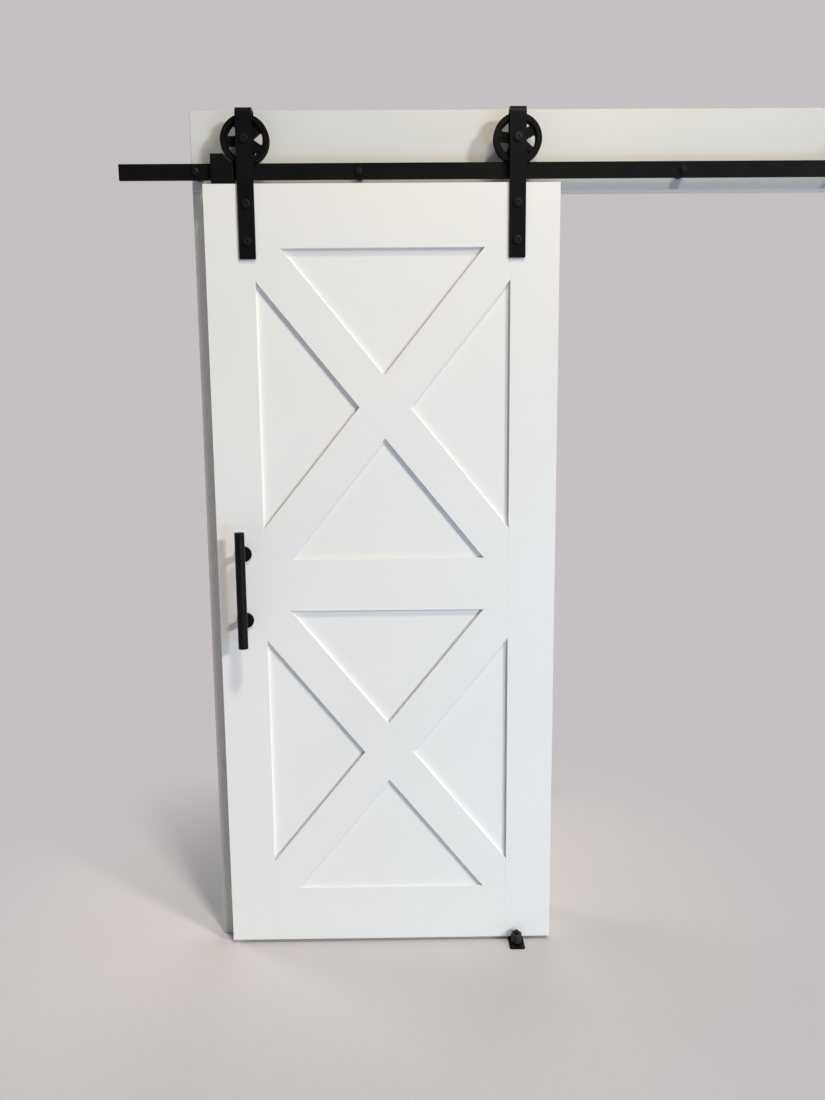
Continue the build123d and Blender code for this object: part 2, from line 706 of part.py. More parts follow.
with BuildPart() as cap_nut:
    post_z(cap_dome_radius, nut_low_z + cap_nut_height, nut_low_z + cap_nut_height + cap_dome_height)
    fillet(cap_nut.edges().group_by(Axis.Z)[-1], cap_dome_edge)
    with BuildSketch(Plane.XY.offset(nut_low_z)):
        RegularPolygon(cap_nut_width / 2, 6, major_radius=False)
    extrude(amount=cap_nut_height)
    post_z(guide_thread_bore, nut_low_z, shoulder_z + guide_thread_length, Mode.SUBTRACT)
keep_group("guide_cap_nuts", cap_nut, guide_places)

with BuildPart() as roller:
    post_z(roller_radius, roller_low_z, roller_low_z + roller_height)
    fillet(roller.edges().filter_by(GeomType.CIRCLE), roller_edge)
    post_z(guide_axle_radius + roller_bore_gap, roller_low_z, roller_low_z + roller_height, Mode.SUBTRACT)
keep_group("guide_roller_front", roller, guide_places[:1])
keep_group("guide_roller_back", roller, guide_places[1:])

with BuildPart() as floor_screw:
    post_z(floor_screw_head_radius, guide_base_thickness, guide_base_thickness + floor_screw_head_height)
    fillet(floor_screw.edges().group_by(Axis.Z)[-1], floor_screw_head_edge)
    with BuildSketch(Plane((0, 0, 0), x_dir=(1, 0, 0), z_dir=(0, 1, 0))):
        add(pointed_shank(
            floor_screw_neck_radius, floor_screw_radius, -guide_base_thickness, 0,
            floor_screw_length - guide_base_thickness, floor_screw_tip_length,
        ))
    revolve(axis=Axis.Z)
keep_group("floor_screws", floor_screw, floor_screw_places)

os.makedirs("parts", exist_ok=True)
for name, piece in pieces.items():
    export_step(piece, f"parts/{name}.step")
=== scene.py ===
"""Sliding barn door: finishes, fastenings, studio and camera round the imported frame.

The frame holds every construction piece at its real place. This script dresses those pieces, makes
the threaded and turned fastenings that stand for the plain ones, and sets up a pale floor, soft
light and the camera. Everything is in metres, with +X along the wall, +Y into it and +Z up.
"""

from __future__ import annotations

import json
import logging
import math
from dataclasses import dataclass
from enum import Enum
from typing import Any, Iterable, Sequence

import bpy
import numpy as np
from mathutils import Matrix, Vector


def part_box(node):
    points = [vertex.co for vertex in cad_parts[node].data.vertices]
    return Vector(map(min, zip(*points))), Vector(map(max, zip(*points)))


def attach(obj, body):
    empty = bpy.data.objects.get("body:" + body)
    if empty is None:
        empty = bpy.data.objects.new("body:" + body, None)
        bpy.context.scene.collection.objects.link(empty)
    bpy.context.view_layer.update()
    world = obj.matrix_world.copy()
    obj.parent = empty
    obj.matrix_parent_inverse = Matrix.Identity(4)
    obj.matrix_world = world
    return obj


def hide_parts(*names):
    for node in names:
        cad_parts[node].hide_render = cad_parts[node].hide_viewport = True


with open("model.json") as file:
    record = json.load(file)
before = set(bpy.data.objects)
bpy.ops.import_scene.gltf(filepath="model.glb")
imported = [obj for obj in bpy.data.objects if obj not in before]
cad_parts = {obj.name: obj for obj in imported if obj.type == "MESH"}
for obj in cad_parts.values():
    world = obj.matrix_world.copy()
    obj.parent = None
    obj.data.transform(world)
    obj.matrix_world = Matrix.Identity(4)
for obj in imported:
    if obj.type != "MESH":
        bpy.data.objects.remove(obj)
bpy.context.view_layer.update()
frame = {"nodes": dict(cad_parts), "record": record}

log = logging.getLogger("barn_door")

MM = 0.001
FULL_TURN = 2 * math.pi
RING_POINTS = 48
SIDES = ("left", "right")
NOISE_LOW, NOISE_HIGH = 0.3, 0.7
WELD_REACH = 0.002 * MM
EASED_TURN = math.radians(35)
HARD_TURN = math.radians(26)
HEX_FACE_SHARE = 0.94
HEX_CHAMFER_SLOPE = math.tan(math.radians(30))
NUT_LEAD = 0.6 * MM

Colour = tuple[float, float, float]
Place = tuple[float, float, float]
Places = Iterable[Sequence[float]]
Span = tuple[float, float]
Row = tuple[Any, Any]
Outlet = bpy.types.NodeSocket


class Facing(Enum):
    """Which way a turned piece's own axis points; the columns are its x, y and axis directions."""

    WALL = ((1, 0, 0), (0, 0, -1), (0, 1, 0))
    UP = ((1, 0, 0), (0, 1, 0), (0, 0, 1))

    def turn(self) -> np.ndarray:
        """Rotation matrix from the piece's own axes to the frame's."""
        return np.array(self.value, float).T


class Ends(Enum):
    """How the rows of a turned surface are closed."""

    POLES = "a point closes each end"
    LOOP = "the last row joins the first"


class Grain(Enum):
    """Angle of a board's length from upright, seen from the front, in degrees."""

    UPRIGHT = 0.0
    LEVEL = 90.0
    FALLING = 39.9
    RISING = -39.9


@dataclass(frozen=True)
class Box:
    """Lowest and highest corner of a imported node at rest."""

    low: np.ndarray
    high: np.ndarray

    @classmethod
    def of(cls, node: str) -> Box:
        """Box of the named node."""
        low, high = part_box(node)
        return cls(np.array(low), np.array(high))

    @property
    def middle(self) -> np.ndarray:
        """Centre of the box."""
        return (self.low + self.high) / 2

    @property
    def size(self) -> np.ndarray:
        """Length of the box along each axis."""
        return self.high - self.low

    def inset(self, axis: int, margin: float) -> Span:
        """The two places that lie a margin inside the box's ends along an axis."""
        return self.low[axis] + margin, self.high[axis] - margin


class NodeSheet:
    """Node tree of a material or world, with short calls that add nodes and feed their inputs."""

    def __init__(self, owner: bpy.types.Material | bpy.types.World) -> None:
        """Start with an empty tree."""
        owner.use_nodes = True
        self.tree = owner.node_tree
        self.tree.nodes.clear()

    def add(self, kind: str, inputs: dict[Any, Any], **settings: Any) -> bpy.types.Node:
        """Add one node.

        Args:
            kind: Blender's name of the node's type.
            inputs: value or output socket for each named or numbered input.
            settings: the node's own properties.

        Returns:
            The new node.
        """
        node = self.tree.nodes.new(kind)
        for key, value in settings.items():
            setattr(node, key, value)
        for key, value in inputs.items():
            socket = node.inputs[key]
            if isinstance(value, Outlet):
                self.tree.links.new(value, socket)
            else:
                socket.default_value = value
        return node

    def place(self, scale: Sequence[float] = (1, 1, 1), turn: float = 0.0) -> Outlet:
        """Object coordinates, turned about the depth axis and then scaled.

        Args:
            scale: factor along each axis after the turn.
            turn: angle in degrees, seen from the front.

        Returns:
            The socket of the coordinates.
        """
        source = self.add("ShaderNodeTexCoord", {})
        turned = self.add(
            "ShaderNodeMapping",
            {"Vector": source.outputs["Object"], "Rotation": (0.0, math.radians(turn), 0.0)},
        )
        scaled = self.add("ShaderNodeMapping", {"Vector": turned.outputs["Vector"], "Scale": tuple(scale)})
        return scaled.outputs["Vector"]

    def noise(self, where: Outlet, scale: float, detail: float) -> Outlet:
        """Cloudy pattern from 0 to 1, with that many features to the metre."""
        node = self.add("ShaderNodeTexNoise", {"Vector": where, "Scale": scale, "Detail": detail})
        return node.outputs["Fac"]

    def blend(self, share: Outlet, low: Colour, high: Colour) -> Outlet:
        """Colour between two, by a share around one half."""
        node = self.add("ShaderNodeValToRGB", {"Fac": share})
        ramp = node.color_ramp.elements
        ramp[0].position, ramp[1].position = NOISE_LOW, NOISE_HIGH
        ramp[0].color, ramp[1].color = (*low, 1.0), (*high, 1.0)
        return node.outputs["Color"]

    def between(self, share: Outlet, low: float, high: float) -> Outlet:
        """Number between two, by a share around one half."""
        node = self.add(
            "ShaderNodeMapRange",
            {"Value": share, "From Min": NOISE_LOW, "From Max": NOISE_HIGH, "To Min": low, "To Max": high},
        )
        return node.outputs["Result"]

    def bump(self, height: Outlet, depth: float, strength: float, below: Outlet | None = None) -> Outlet:
        """Surface relief of that depth in metres, laid over another relief if one is given."""
        inputs = {"Height": height, "Distance": depth, "Strength": strength}
        if below is not None:
            inputs["Normal"] = below
        return self.add("ShaderNodeBump", inputs).outputs["Normal"]

    def mix(self, share: Outlet, first: Outlet, second: Outlet) -> Outlet:
        """Surface between two, by a share from 0 to 1."""
        return self.add("ShaderNodeMixShader", {0: share, 1: first, 2: second}).outputs[0]

    def finish(self, **inputs: Any) -> None:
        """Close a material's tree with a principled surface."""
        named = {key.replace("_", " "): value for key, value in inputs.items()}
        surface = self.add("ShaderNodeBsdfPrincipled", named)
        self.add("ShaderNodeOutputMaterial", {"Surface": surface.outputs["BSDF"]})


def shade(colour: Colour, factor: float) -> Colour:
    """Colour made lighter or darker by a factor."""
    return tuple(part * factor for part in colour)


@dataclass(frozen=True)
class Finish:
    """What every finish has: a name, a colour and a roughness, and how far the last two wander.

    The tints are factors of the colour, and the sheens are steps from the roughness.
    """

    name: str
    colour: Colour
    roughness: float
    tints: Span = (1.0, 1.0)
    sheens: Span = (0.0, 0.0)

    def material(self) -> bpy.types.Material:
        """The finish's material, made when it is first asked for."""
        material = bpy.data.materials.get(self.name)
        if material is None:
            material = bpy.data.materials.new(self.name)
            self.paint(NodeSheet(material))
        return material

    def paint(self, sheet: NodeSheet) -> None:
        """Lay out the material's nodes."""
        raise NotImplementedError

    def tinted(self, sheet: NodeSheet, share: Outlet) -> Outlet:
        """Colour that wanders between the two tints."""
        low, high = self.tints
        return sheet.blend(share, shade(self.colour, low), shade(self.colour, high))

    def worn(self, sheet: NodeSheet, share: Outlet) -> Outlet:
        """Roughness that wanders between the two sheens."""
        low, high = self.sheens
        return sheet.between(share, self.roughness + low, self.roughness + high)


@dataclass(frozen=True)
class RolledPaint(Finish):
    """Satin paint on a board: roller stipple, faint grain along the board, and uneven sheen."""

    tints: Span = (0.988, 1.012)
    sheens: Span = (-0.05, 0.05)
    grain: Grain = Grain.UPRIGHT
    stipple_per_metre: float = 620.0
    stipple_depth: float = 0.05 * MM
    grain_per_metre: float = 240.0
    grain_stretch: float = 0.025
    grain_depth: float = 0.10 * MM
    clouds_per_metre: float = 2.2

    def paint(self, sheet: NodeSheet) -> None:
        """Two reliefs over a barely mottled colour."""
        plain = sheet.place()
        along = sheet.place((1, 1, self.grain_stretch), self.grain.value)
        grain = sheet.noise(along, self.grain_per_metre, detail=4.0)
        stipple = sheet.noise(plain, self.stipple_per_metre, detail=3.0)
        clouds = sheet.noise(plain, self.clouds_per_metre, detail=3.0)
        relief = sheet.bump(grain, self.grain_depth, strength=0.5)
        relief = sheet.bump(stipple, self.stipple_depth, strength=0.6, below=relief)
        sheet.finish(
            Base_Color=self.tinted(sheet, clouds),
            Roughness=self.worn(sheet, stipple),
            Specular_IOR_Level=0.30,
            Normal=relief,
        )


@dataclass(frozen=True)
class PowderCoat(Finish):
    """Satin black baked coat: fine orange peel with a little unevenness of sheen."""

    tints: Span = (0.88, 1.12)
    sheens: Span = (-0.05, 0.06)
    peel_per_metre: float = 900.0
    peel_depth: float = 0.06 * MM
    clouds_per_metre: float = 14.0
    gloss: float = 0.08

    def paint(self, sheet: NodeSheet) -> None:
        """Orange peel over a clouded colour and sheen."""
        plain = sheet.place()
        peel = sheet.noise(plain, self.peel_per_metre, detail=2.0)
        clouds = sheet.noise(plain, self.clouds_per_metre, detail=4.0)
        sheet.finish(
            Base_Color=self.tinted(sheet, clouds),
            Roughness=self.worn(sheet, clouds),
            Specular_IOR_Level=self.gloss,
            Normal=sheet.bump(peel, self.peel_depth, strength=0.7),
        )


@dataclass(frozen=True)
class BlackOxide(Finish):
    """Thin black finish on steel fastenings, with the metal's sheen showing through."""

    tints: Span = (0.8, 1.25)
    sheens: Span = (-0.08, 0.08)
    scratch_per_metre: float = 1500.0
    scratch_depth: float = 0.015 * MM
    clouds_per_metre: float = 90.0

    def paint(self, sheet: NodeSheet) -> None:
        """Dark metal with fine tool marks."""
        plain = sheet.place()
        marks = sheet.noise(plain, self.scratch_per_metre, detail=4.0)
        clouds = sheet.noise(plain, self.clouds_per_metre, detail=3.0)
        sheet.finish(
            Base_Color=self.tinted(sheet, clouds),
            Metallic=0.55,
            Roughness=self.worn(sheet, marks),
            Normal=sheet.bump(marks, self.scratch_depth, strength=0.6),
        )


@dataclass(frozen=True)
class GroundSteel(Finish):
    """Ground bearing steel: bright, with fine marks."""

    tints: Span = (0.93, 1.05)
    sheens: Span = (-0.05, 0.07)
    scratch_per_metre: float = 1800.0
    scratch_depth: float = 0.008 * MM

    def paint(self, sheet: NodeSheet) -> None:
        """Bright metal whose roughness wanders."""
        marks = sheet.noise(sheet.place(), self.scratch_per_metre, detail=4.0)
        sheet.finish(
            Base_Color=self.tinted(sheet, marks),
            Metallic=1.0,
            Roughness=self.worn(sheet, marks),
            Normal=sheet.bump(marks, self.scratch_depth, strength=0.5),
        )


@dataclass(frozen=True)
class MouldedPolymer(Finish):
    """Rubber or nylon: matt, with a fine moulded skin."""

    tints: Span = (0.85, 1.2)
    sheens: Span = (-0.06, 0.08)
    skin_per_metre: float = 1100.0
    skin_depth: float = 0.05 * MM
    scuffs_per_metre: float = 60.0

    def paint(self, sheet: NodeSheet) -> None:
        """Matt surface with a fine grain."""
        plain = sheet.place()
        skin = sheet.noise(plain, self.skin_per_metre, detail=3.0)
        scuffs = sheet.noise(plain, self.scuffs_per_metre, detail=4.0)
        sheet.finish(
            Base_Color=self.tinted(sheet, scuffs),
            Roughness=self.worn(sheet, scuffs),
            Specular_IOR_Level=0.4,
            Normal=sheet.bump(skin, self.skin_depth, strength=0.7),
        )


def paints(name: str, colour: Colour, roughness: float) -> dict[Grain, RolledPaint]:
    """The same paint for boards that run each way."""
    return {way: RolledPaint(f"{name}_{way.name.lower()}", colour, roughness, grain=way) for way in Grain}


SATIN_BLACK: Colour = (0.0050, 0.0052, 0.0060)

DOOR_PAINT = paints("door_paint", (0.80, 0.795, 0.78), 0.40)
# Trim paint is darker than the door paint: painted shade for the crown moulding's shade on the header and the
# leaf's shade on the casings, neither modelled as such.
SHADED_TRIM_PAINT = paints("trim_paint", (0.65, 0.66, 0.655), 0.45)
BLACK_COAT = PowderCoat("satin_black_coat", SATIN_BLACK, 0.46)
PULL_COAT = PowderCoat(
    "fine_black_coat", SATIN_BLACK, 0.36, peel_per_metre=1300.0, peel_depth=0.03 * MM, gloss=0.09
)
BLACK_OXIDE = BlackOxide("black_oxide", (0.012, 0.012, 0.013), 0.38)
BEARING_STEEL = GroundSteel("ground_steel", (0.60, 0.60, 0.61), 0.22)
BLACK_RUBBER = MouldedPolymer("black_rubber", (0.014, 0.014, 0.014), 0.72)
BLACK_NYLON = MouldedPolymer("black_nylon", (0.012, 0.012, 0.013), 0.50, skin_per_metre=700.0)


def both(stem: str) -> list[str]:
    """Names of the left and right node of a pair."""
    return [f"{stem}_{side}" for side in SIDES]


def dress(nodes: Iterable[str], finish: Finish) -> None:
    """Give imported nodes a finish.

    Args:
        nodes: names of the nodes.
        finish: what goes into their material slots.
    """
    for name in nodes:
        for slot in frame["nodes"][name].material_slots:
            slot.material = finish.material()


def ease(nodes: Iterable[str], width: float) -> None:
    """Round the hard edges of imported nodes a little, with modifiers only.

    Args:
        nodes: names of the nodes.
        width: how far back from the edge the rounding starts, in metres.
    """
    for name in nodes:
        piece = frame["nodes"][name]
        weld = piece.modifiers.new("weld", "WELD")
        weld.merge_threshold = WELD_REACH
        bevel = piece.modifiers.new("bevel", "BEVEL")
        bevel.width = width
        bevel.segments = 2
        bevel.limit_method = "ANGLE"
        bevel.angle_limit = EASED_TURN
        bevel.harden_normals = False
        bevel.face_strength_mode = "FSTR_ALL"
        normal = piece.modifiers.new("normal", "WEIGHTED_NORMAL")
        normal.keep_sharp = True
        normal.use_face_influence = True


def circle(turns: int) -> np.ndarray:
    """Angles of the points round one ring."""
    return np.arange(turns) * (FULL_TURN / turns)


RING = circle(RING_POINTS)


def hexagon(flats: float) -> np.ndarray:
    """Radius of a hexagon with a corner at angle 0: half the flats over the cosine to the nearest flat."""
    return flats / 2 / np.cos(np.mod(RING, math.pi / 3) - math.pi / 6)


def chamfered_hexagon(flats: float) -> tuple[np.ndarray, float, np.ndarray]:
    """Hexagon with an end turned to a 30 degree cone.

    Args:
        flats: width across the flats.

    Returns:
        The hexagon's radii, the radius of its flat end, and the cone's drop at each of the radii.
    """
    outline = hexagon(flats)
    face = flats / 2 * HEX_FACE_SHARE
    return outline, face, (outline - face) * HEX_CHAMFER_SLOPE


def cross(reach: float, half_width: float) -> np.ndarray:
    """Radius of a cross: the larger of two bars, each cut by its end or its side, whichever is nearer."""
    least = 1e-9
    along = np.maximum(np.abs(np.cos(RING)), least)
    aside = np.maximum(np.abs(np.sin(RING)), least)
    first = np.minimum(reach / along, half_width / aside)
    second = np.minimum(reach / aside, half_width / along)
    return np.maximum(first, second)


def quarter(outer: float, top: float, radius: float, steps: int = 6) -> list[Row]:
    """Rows of a quarter round from a top face to a rim: r = R - f + f sin a, h = H - f + f cos a."""
    bend = np.linspace(0, math.pi / 2, steps)
    return [(outer - radius + radius * math.sin(a), top - radius + radius * math.cos(a)) for a in bend]


def flipped(rows: Iterable[Row]) -> list[Row]:
    """The same rows with their heights the other way."""
    return [(radius, -height) for radius, height in rows]


@dataclass(frozen=True)
class Thread:
    """Screw thread as a wavy cylinder."""

    crest: float
    root: float
    pitch: float
    sharpness: float = 1.25
    rows_per_pitch: int = 9
    tip_share: float = 0.02
    tip_bend: float = 0.8

    def rows(self, low: float, high: float, point: float = 0.0) -> list[Row]:
        """Rows of the thread between two heights.

        The radius falls from crest to root by a triangular wave of height over pitch less angle over
        a full turn, flattened at crest and root, so the ridge climbs one pitch a turn. The ridge
        grows over the first pitch, and over the last stretch, `point` long, the radius shrinks as the
        way left to the power of the tip's bend.

        Args:
            low: height where the thread starts.
            high: height where it ends.
            point: length of the tapered tip, 0 for none.

        Returns:
            One pair of radii and height for each row.
        """
        count = max(4, int(round((high - low) / self.pitch * self.rows_per_pitch)))
        height = np.linspace(low, high, count)[:, None]
        wave = np.abs(2 * np.mod(height / self.pitch - RING[None, :] / FULL_TURN, 1.0) - 1)
        wave = np.clip(wave * self.sharpness - (self.sharpness - 1) / 2, 0, 1)
        grown = np.clip((height - low) / self.pitch, 0, 1)
        radius = self.root + (self.crest - self.root) * wave * grown
        if point > 0:
            radius = radius * np.clip((high - height) / point, self.tip_share, 1) ** self.tip_bend
        return [(ring, float(level)) for ring, level in zip(radius, height[:, 0])]


@dataclass(frozen=True)
class PanHead:
    """Low round screw head with a cross recess."""

    radius: float
    height: float
    edge: float
    recess_reach: float
    recess_half_width: float
    recess_depth: float
    floor_share: float = 0.7
    point_share: float = 0.3
    point_sink: float = 1.2

    def rows(self, seat: float) -> list[Row]:
        """Rows from the bottom of the recess to the foot of the rim.

        Args:
            seat: height of the face under the head.

        Returns:
            One radius, or ring of radii, and height for each row.
        """
        top = seat + self.height
        recess = cross(self.recess_reach, self.recess_half_width)
        return [
            (recess * self.point_share, top - self.recess_depth * self.point_sink),
            (recess * self.floor_share, top - self.recess_depth),
            (recess, top),
            *quarter(self.radius, top, self.edge),
            (self.radius, seat),
        ]


@dataclass(frozen=True)
class Socket:
    """Hexagon socket with a drill point and a small chamfer at its mouth."""

    flats: float
    depth: float
    lead_share: float = 0.05
    floor_share: float = 0.8
    point_share: float = 0.15

    def rows(self, top: float) -> list[Row]:
        """Rows from the drill point to the mouth.

        Args:
            top: height of the face that the socket is sunk into.

        Returns:
            One ring of radii and height for each row.
        """
        outline = hexagon(self.flats)
        lead = self.flats * self.lead_share
        floor = top - self.depth
        return [
            (outline * self.point_share, floor - lead * 2),
            (outline * self.floor_share, floor),
            (outline, floor),
            (outline, top - lead),
            (outline + lead, top),
            (outline + lead * 2, top),
        ]


@dataclass
class Turned:
    """Closed surface of rings about its own axis, at the origin.

    The point of row i at angle t lies at (r cos t, r sin t, h), with r and h that row's radius and
    height there. Neighbouring rows are joined by quads, and the ends by poles or to each other.
    """

    rows: list[Row]
    ends: Ends = Ends.POLES
    turns: int = RING_POINTS

    def build(self) -> tuple[np.ndarray, list[tuple[int, ...]]]:
        """Points and faces, with the faces outwards.

        Returns:
            The points as an array, and the faces as tuples of point numbers.
        """
        angle = circle(self.turns)
        radius = np.stack([np.broadcast_to(np.asarray(r, float), (self.turns,)) for r, _ in self.rows])
        height = np.stack([np.broadcast_to(np.asarray(h, float), (self.turns,)) for _, h in self.rows])
        grid = np.stack([radius * np.cos(angle), radius * np.sin(angle), height], -1)
        count = len(self.rows)
        number = np.arange(count * self.turns).reshape(count, self.turns)
        if self.ends is Ends.LOOP:
            number = np.vstack([number, number[:1]])
        aside = np.roll(number, -1, axis=1)
        quads = np.stack([number[:-1], aside[:-1], aside[1:], number[1:]], -1).reshape(-1, 4)
        faces = [tuple(face) for face in quads.tolist()]
        points = grid.reshape(-1, 3)
        if self.ends is Ends.POLES:
            poles = np.array([[0, 0, height[0].mean()], [0, 0, height[-1].mean()]])
            start = len(points)
            points = np.vstack([points, poles])
            low = np.stack([np.full(self.turns, start), aside[0], number[0]], -1)
            high = np.stack([np.full(self.turns, start + 1), number[-1], aside[-1]], -1)
            faces += [tuple(face) for face in np.vstack([low, high]).tolist()]
        if signed_volume(points, faces) < 0:
            faces = [face[::-1] for face in faces]
        return points, faces


def signed_volume(points: np.ndarray, faces: list[tuple[int, ...]]) -> float:
    """Volume inside closed faces, negative if they point inwards: a sixth of the sum of triple products."""
    fans = [(f[0], f[i], f[i + 1]) for f in faces for i in range(1, len(f) - 1)]
    a, b, c = (points[np.array(fans)[:, k]] for k in range(3))
    return float(np.einsum("ij,ij->i", a, np.cross(b, c)).sum() / 6)


class Maker:
    """Gathers closed surfaces into one named piece and hands it to the frame."""

    def __init__(self, name: str) -> None:
        """Start an empty piece."""
        self.name = name
        self.points: list[np.ndarray] = []
        self.faces: list[tuple[int, ...]] = []
        self.count = 0

    def repeat(self, shape: Turned, places: Places, facing: Facing = Facing.WALL) -> Maker:
        """Add a turned shape at several places.

        Args:
            shape: the surface about its own axis.
            places: where its own origin goes.
            facing: where its own axis points.

        Returns:
            The maker itself.
        """
        points, faces = shape.build()
        turned = points @ facing.turn().T
        for place in places:
            self.points.append(turned + np.asarray(place, float))
            self.faces += [tuple(i + self.count for i in face) for face in faces]
            self.count += len(points)
        return self

    def piece(self, body: str, finish: Finish, slot: str, *nodes: str) -> None:
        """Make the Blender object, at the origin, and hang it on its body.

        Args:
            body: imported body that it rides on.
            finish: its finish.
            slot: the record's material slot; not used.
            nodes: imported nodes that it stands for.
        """
        mesh = bpy.data.meshes.new(self.name)
        mesh.from_pydata(np.vstack(self.points).tolist(), [], self.faces)
        mesh.polygons.foreach_set("use_smooth", np.ones(len(mesh.polygons), bool))
        mesh.set_sharp_from_angle(angle=HARD_TURN)
        mesh.materials.append(finish.material())
        mesh.update()
        piece = bpy.data.objects.new(self.name, mesh)
        bpy.context.scene.collection.objects.link(piece)
        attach(piece, body)
        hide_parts(*nodes)
        log.info("%s: %d faces", self.name, len(mesh.polygons))


def fasten(
    name: str, shape: Turned, places: Places, body: str, node: str, facing: Facing = Facing.WALL
) -> None:
    """Put a black fastening at each of its places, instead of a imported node.

    Args:
        name: name of the new piece.
        shape: one fastening about its own axis.
        places: where its own origin goes.
        body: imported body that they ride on.
        node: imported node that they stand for.
        facing: where their own axis points.
    """
    Maker(name).repeat(shape, places, facing).piece(body, BLACK_OXIDE, "black_fastener", node)


def hex_head(flats: float, height: float) -> list[Row]:
    """Rows of a hexagon head from its middle to its bearing face, with a 30 degree chamfer on top."""
    outline, face, drop = chamfered_hexagon(flats)
    return [(face / 2, height), (face, height), (outline, height - drop), (outline, 0.0)]


def nut(flats: float, height: float, bore: float, thread: Thread) -> Turned:
    """Hexagon nut with both ends chamfered.

    Args:
        flats: width across the flats.
        height: length along the axis.
        bore: radius of the hole at the thread's root.
        thread: thread of the bolt that it goes on.

    Returns:
        The nut's surface, closed as a loop.
    """
    outline, face, drop = chamfered_hexagon(flats)
    ridges = thread.rows(NUT_LEAD, height - NUT_LEAD)
    inside = [(radius - thread.root + bore, level) for radius, level in ridges]
    rows = [
        (bore + NUT_LEAD, 0.0),
        (face, 0.0),
        (outline, drop),
        (outline, height - drop),
        (face, height),
        (bore + NUT_LEAD, height),
        *reversed(inside),
    ]
    return Turned(rows, Ends.LOOP)


def washer(outer: float, inner: float, thickness: float, edge: float = 0.25 * MM) -> Turned:
    """Flat washer.

    Args:
        outer: radius of its rim.
        inner: radius of its hole.
        thickness: length along the axis.
        edge: chamfer of the rim.

    Returns:
        The washer's surface, closed as a loop.
    """
    rows = [
        (inner, 0.0),
        (outer - edge, 0.0),
        (outer, edge),
        (outer, thickness - edge),
        (outer - edge, thickness),
        (inner, thickness),
    ]
    return Turned(rows, Ends.LOOP)


@dataclass
class Leaf:
    """Painted leaf: stiles, rails, crossed braces and panels."""

    fields: tuple[str, ...] = ("upper", "lower")
    panels: tuple[str, ...] = ("top", "bottom", "left", "right")

    def dress(self) -> None:
        """Paint each member with its strokes along its length."""
        dress(both("stile"), DOOR_PAINT[Grain.UPRIGHT])
        dress(("top_rail", "mid_rail", "bottom_rail"), DOOR_PAINT[Grain.LEVEL])
        for field in self.fields:
            dress([f"{field}_brace_falling"], DOOR_PAINT[Grain.FALLING])
            dress([f"{field}_brace_rising"], DOOR_PAINT[Grain.RISING])
            dress([f"{field}_panel_{side}" for side in self.panels], DOOR_PAINT[Grain.UPRIGHT])
        log.info("leaf painted")


@dataclass
class Doorway:
    """Painted header board, casings and jambs."""

    edge: float = 1.0 * MM

    def dress(self) -> None:
        """Paint the boards, uprights with upright strokes, and ease the casings' edges."""
        # The trim colour carries painted shade, darker than the door's white.
        dress(("header_board", "head_jamb"), SHADED_TRIM_PAINT[Grain.LEVEL])
        dress((*both("casing"), *both("jamb")), SHADED_TRIM_PAINT[Grain.UPRIGHT])
        ease(both("casing"), self.edge)
        log.info("doorway painted")


@dataclass
class RailRun:
    """Flat rail with its spacers and the lag screws through it."""

    edge: float = 0.6 * MM
    washer_bore: float = 4.3 * MM
    head_flats: float = 13.0 * MM
    head_height: float = 5.0 * MM
    shank_radius: float = 3.6 * MM
    thread: Thread = Thread(4.0 * MM, 3.0 * MM, 3.2 * MM, sharpness=1.9, rows_per_pitch=10)
    run_out: float = 0.3
    tip_length: float = 8.0 * MM

    def dress(self) -> None:
        """Coat the rail and spacers."""
        dress(("rail", "rail_spacers"), BLACK_COAT)
        ease(("rail",), self.edge)

    def places(self) -> list[np.ndarray]:
        """Middle of each screw head's bearing face on the washer."""
        mounts = frame["record"]["mounts"]
        screws = [m["pos_m"] for m in mounts if m["name"].startswith("lag_screw_")]
        face = Box.of("rail_washers").low[1]
        return [np.array((x, face, z)) for x, _, z in screws]

    def screws(self) -> None:
        """Lag screws: a chamfered head, a plain shank to the wall's face and a coarse thread to a point."""
        places = self.places()
        front = places[0][1]
        wall = -front
        tip = Box.of("rail_lag_screws").high[1] - front
        rows = flipped(hex_head(self.head_flats, self.head_height))
        rows += [(self.shank_radius, 0.0), (self.shank_radius, wall - self.thread.pitch * self.run_out)]
        rows += self.thread.rows(wall, tip, self.tip_length)
        fasten("lag_screws_threaded", Turned(rows), places, "frame", "rail_lag_screws")

    def washers(self) -> None:
        """Washers under the heads."""
        size = Box.of("rail_washers").size
        shape = washer(size[2] / 2, self.washer_bore, size[1])
        fasten("lag_washers", shape, self.places(), "frame", "rail_washers")


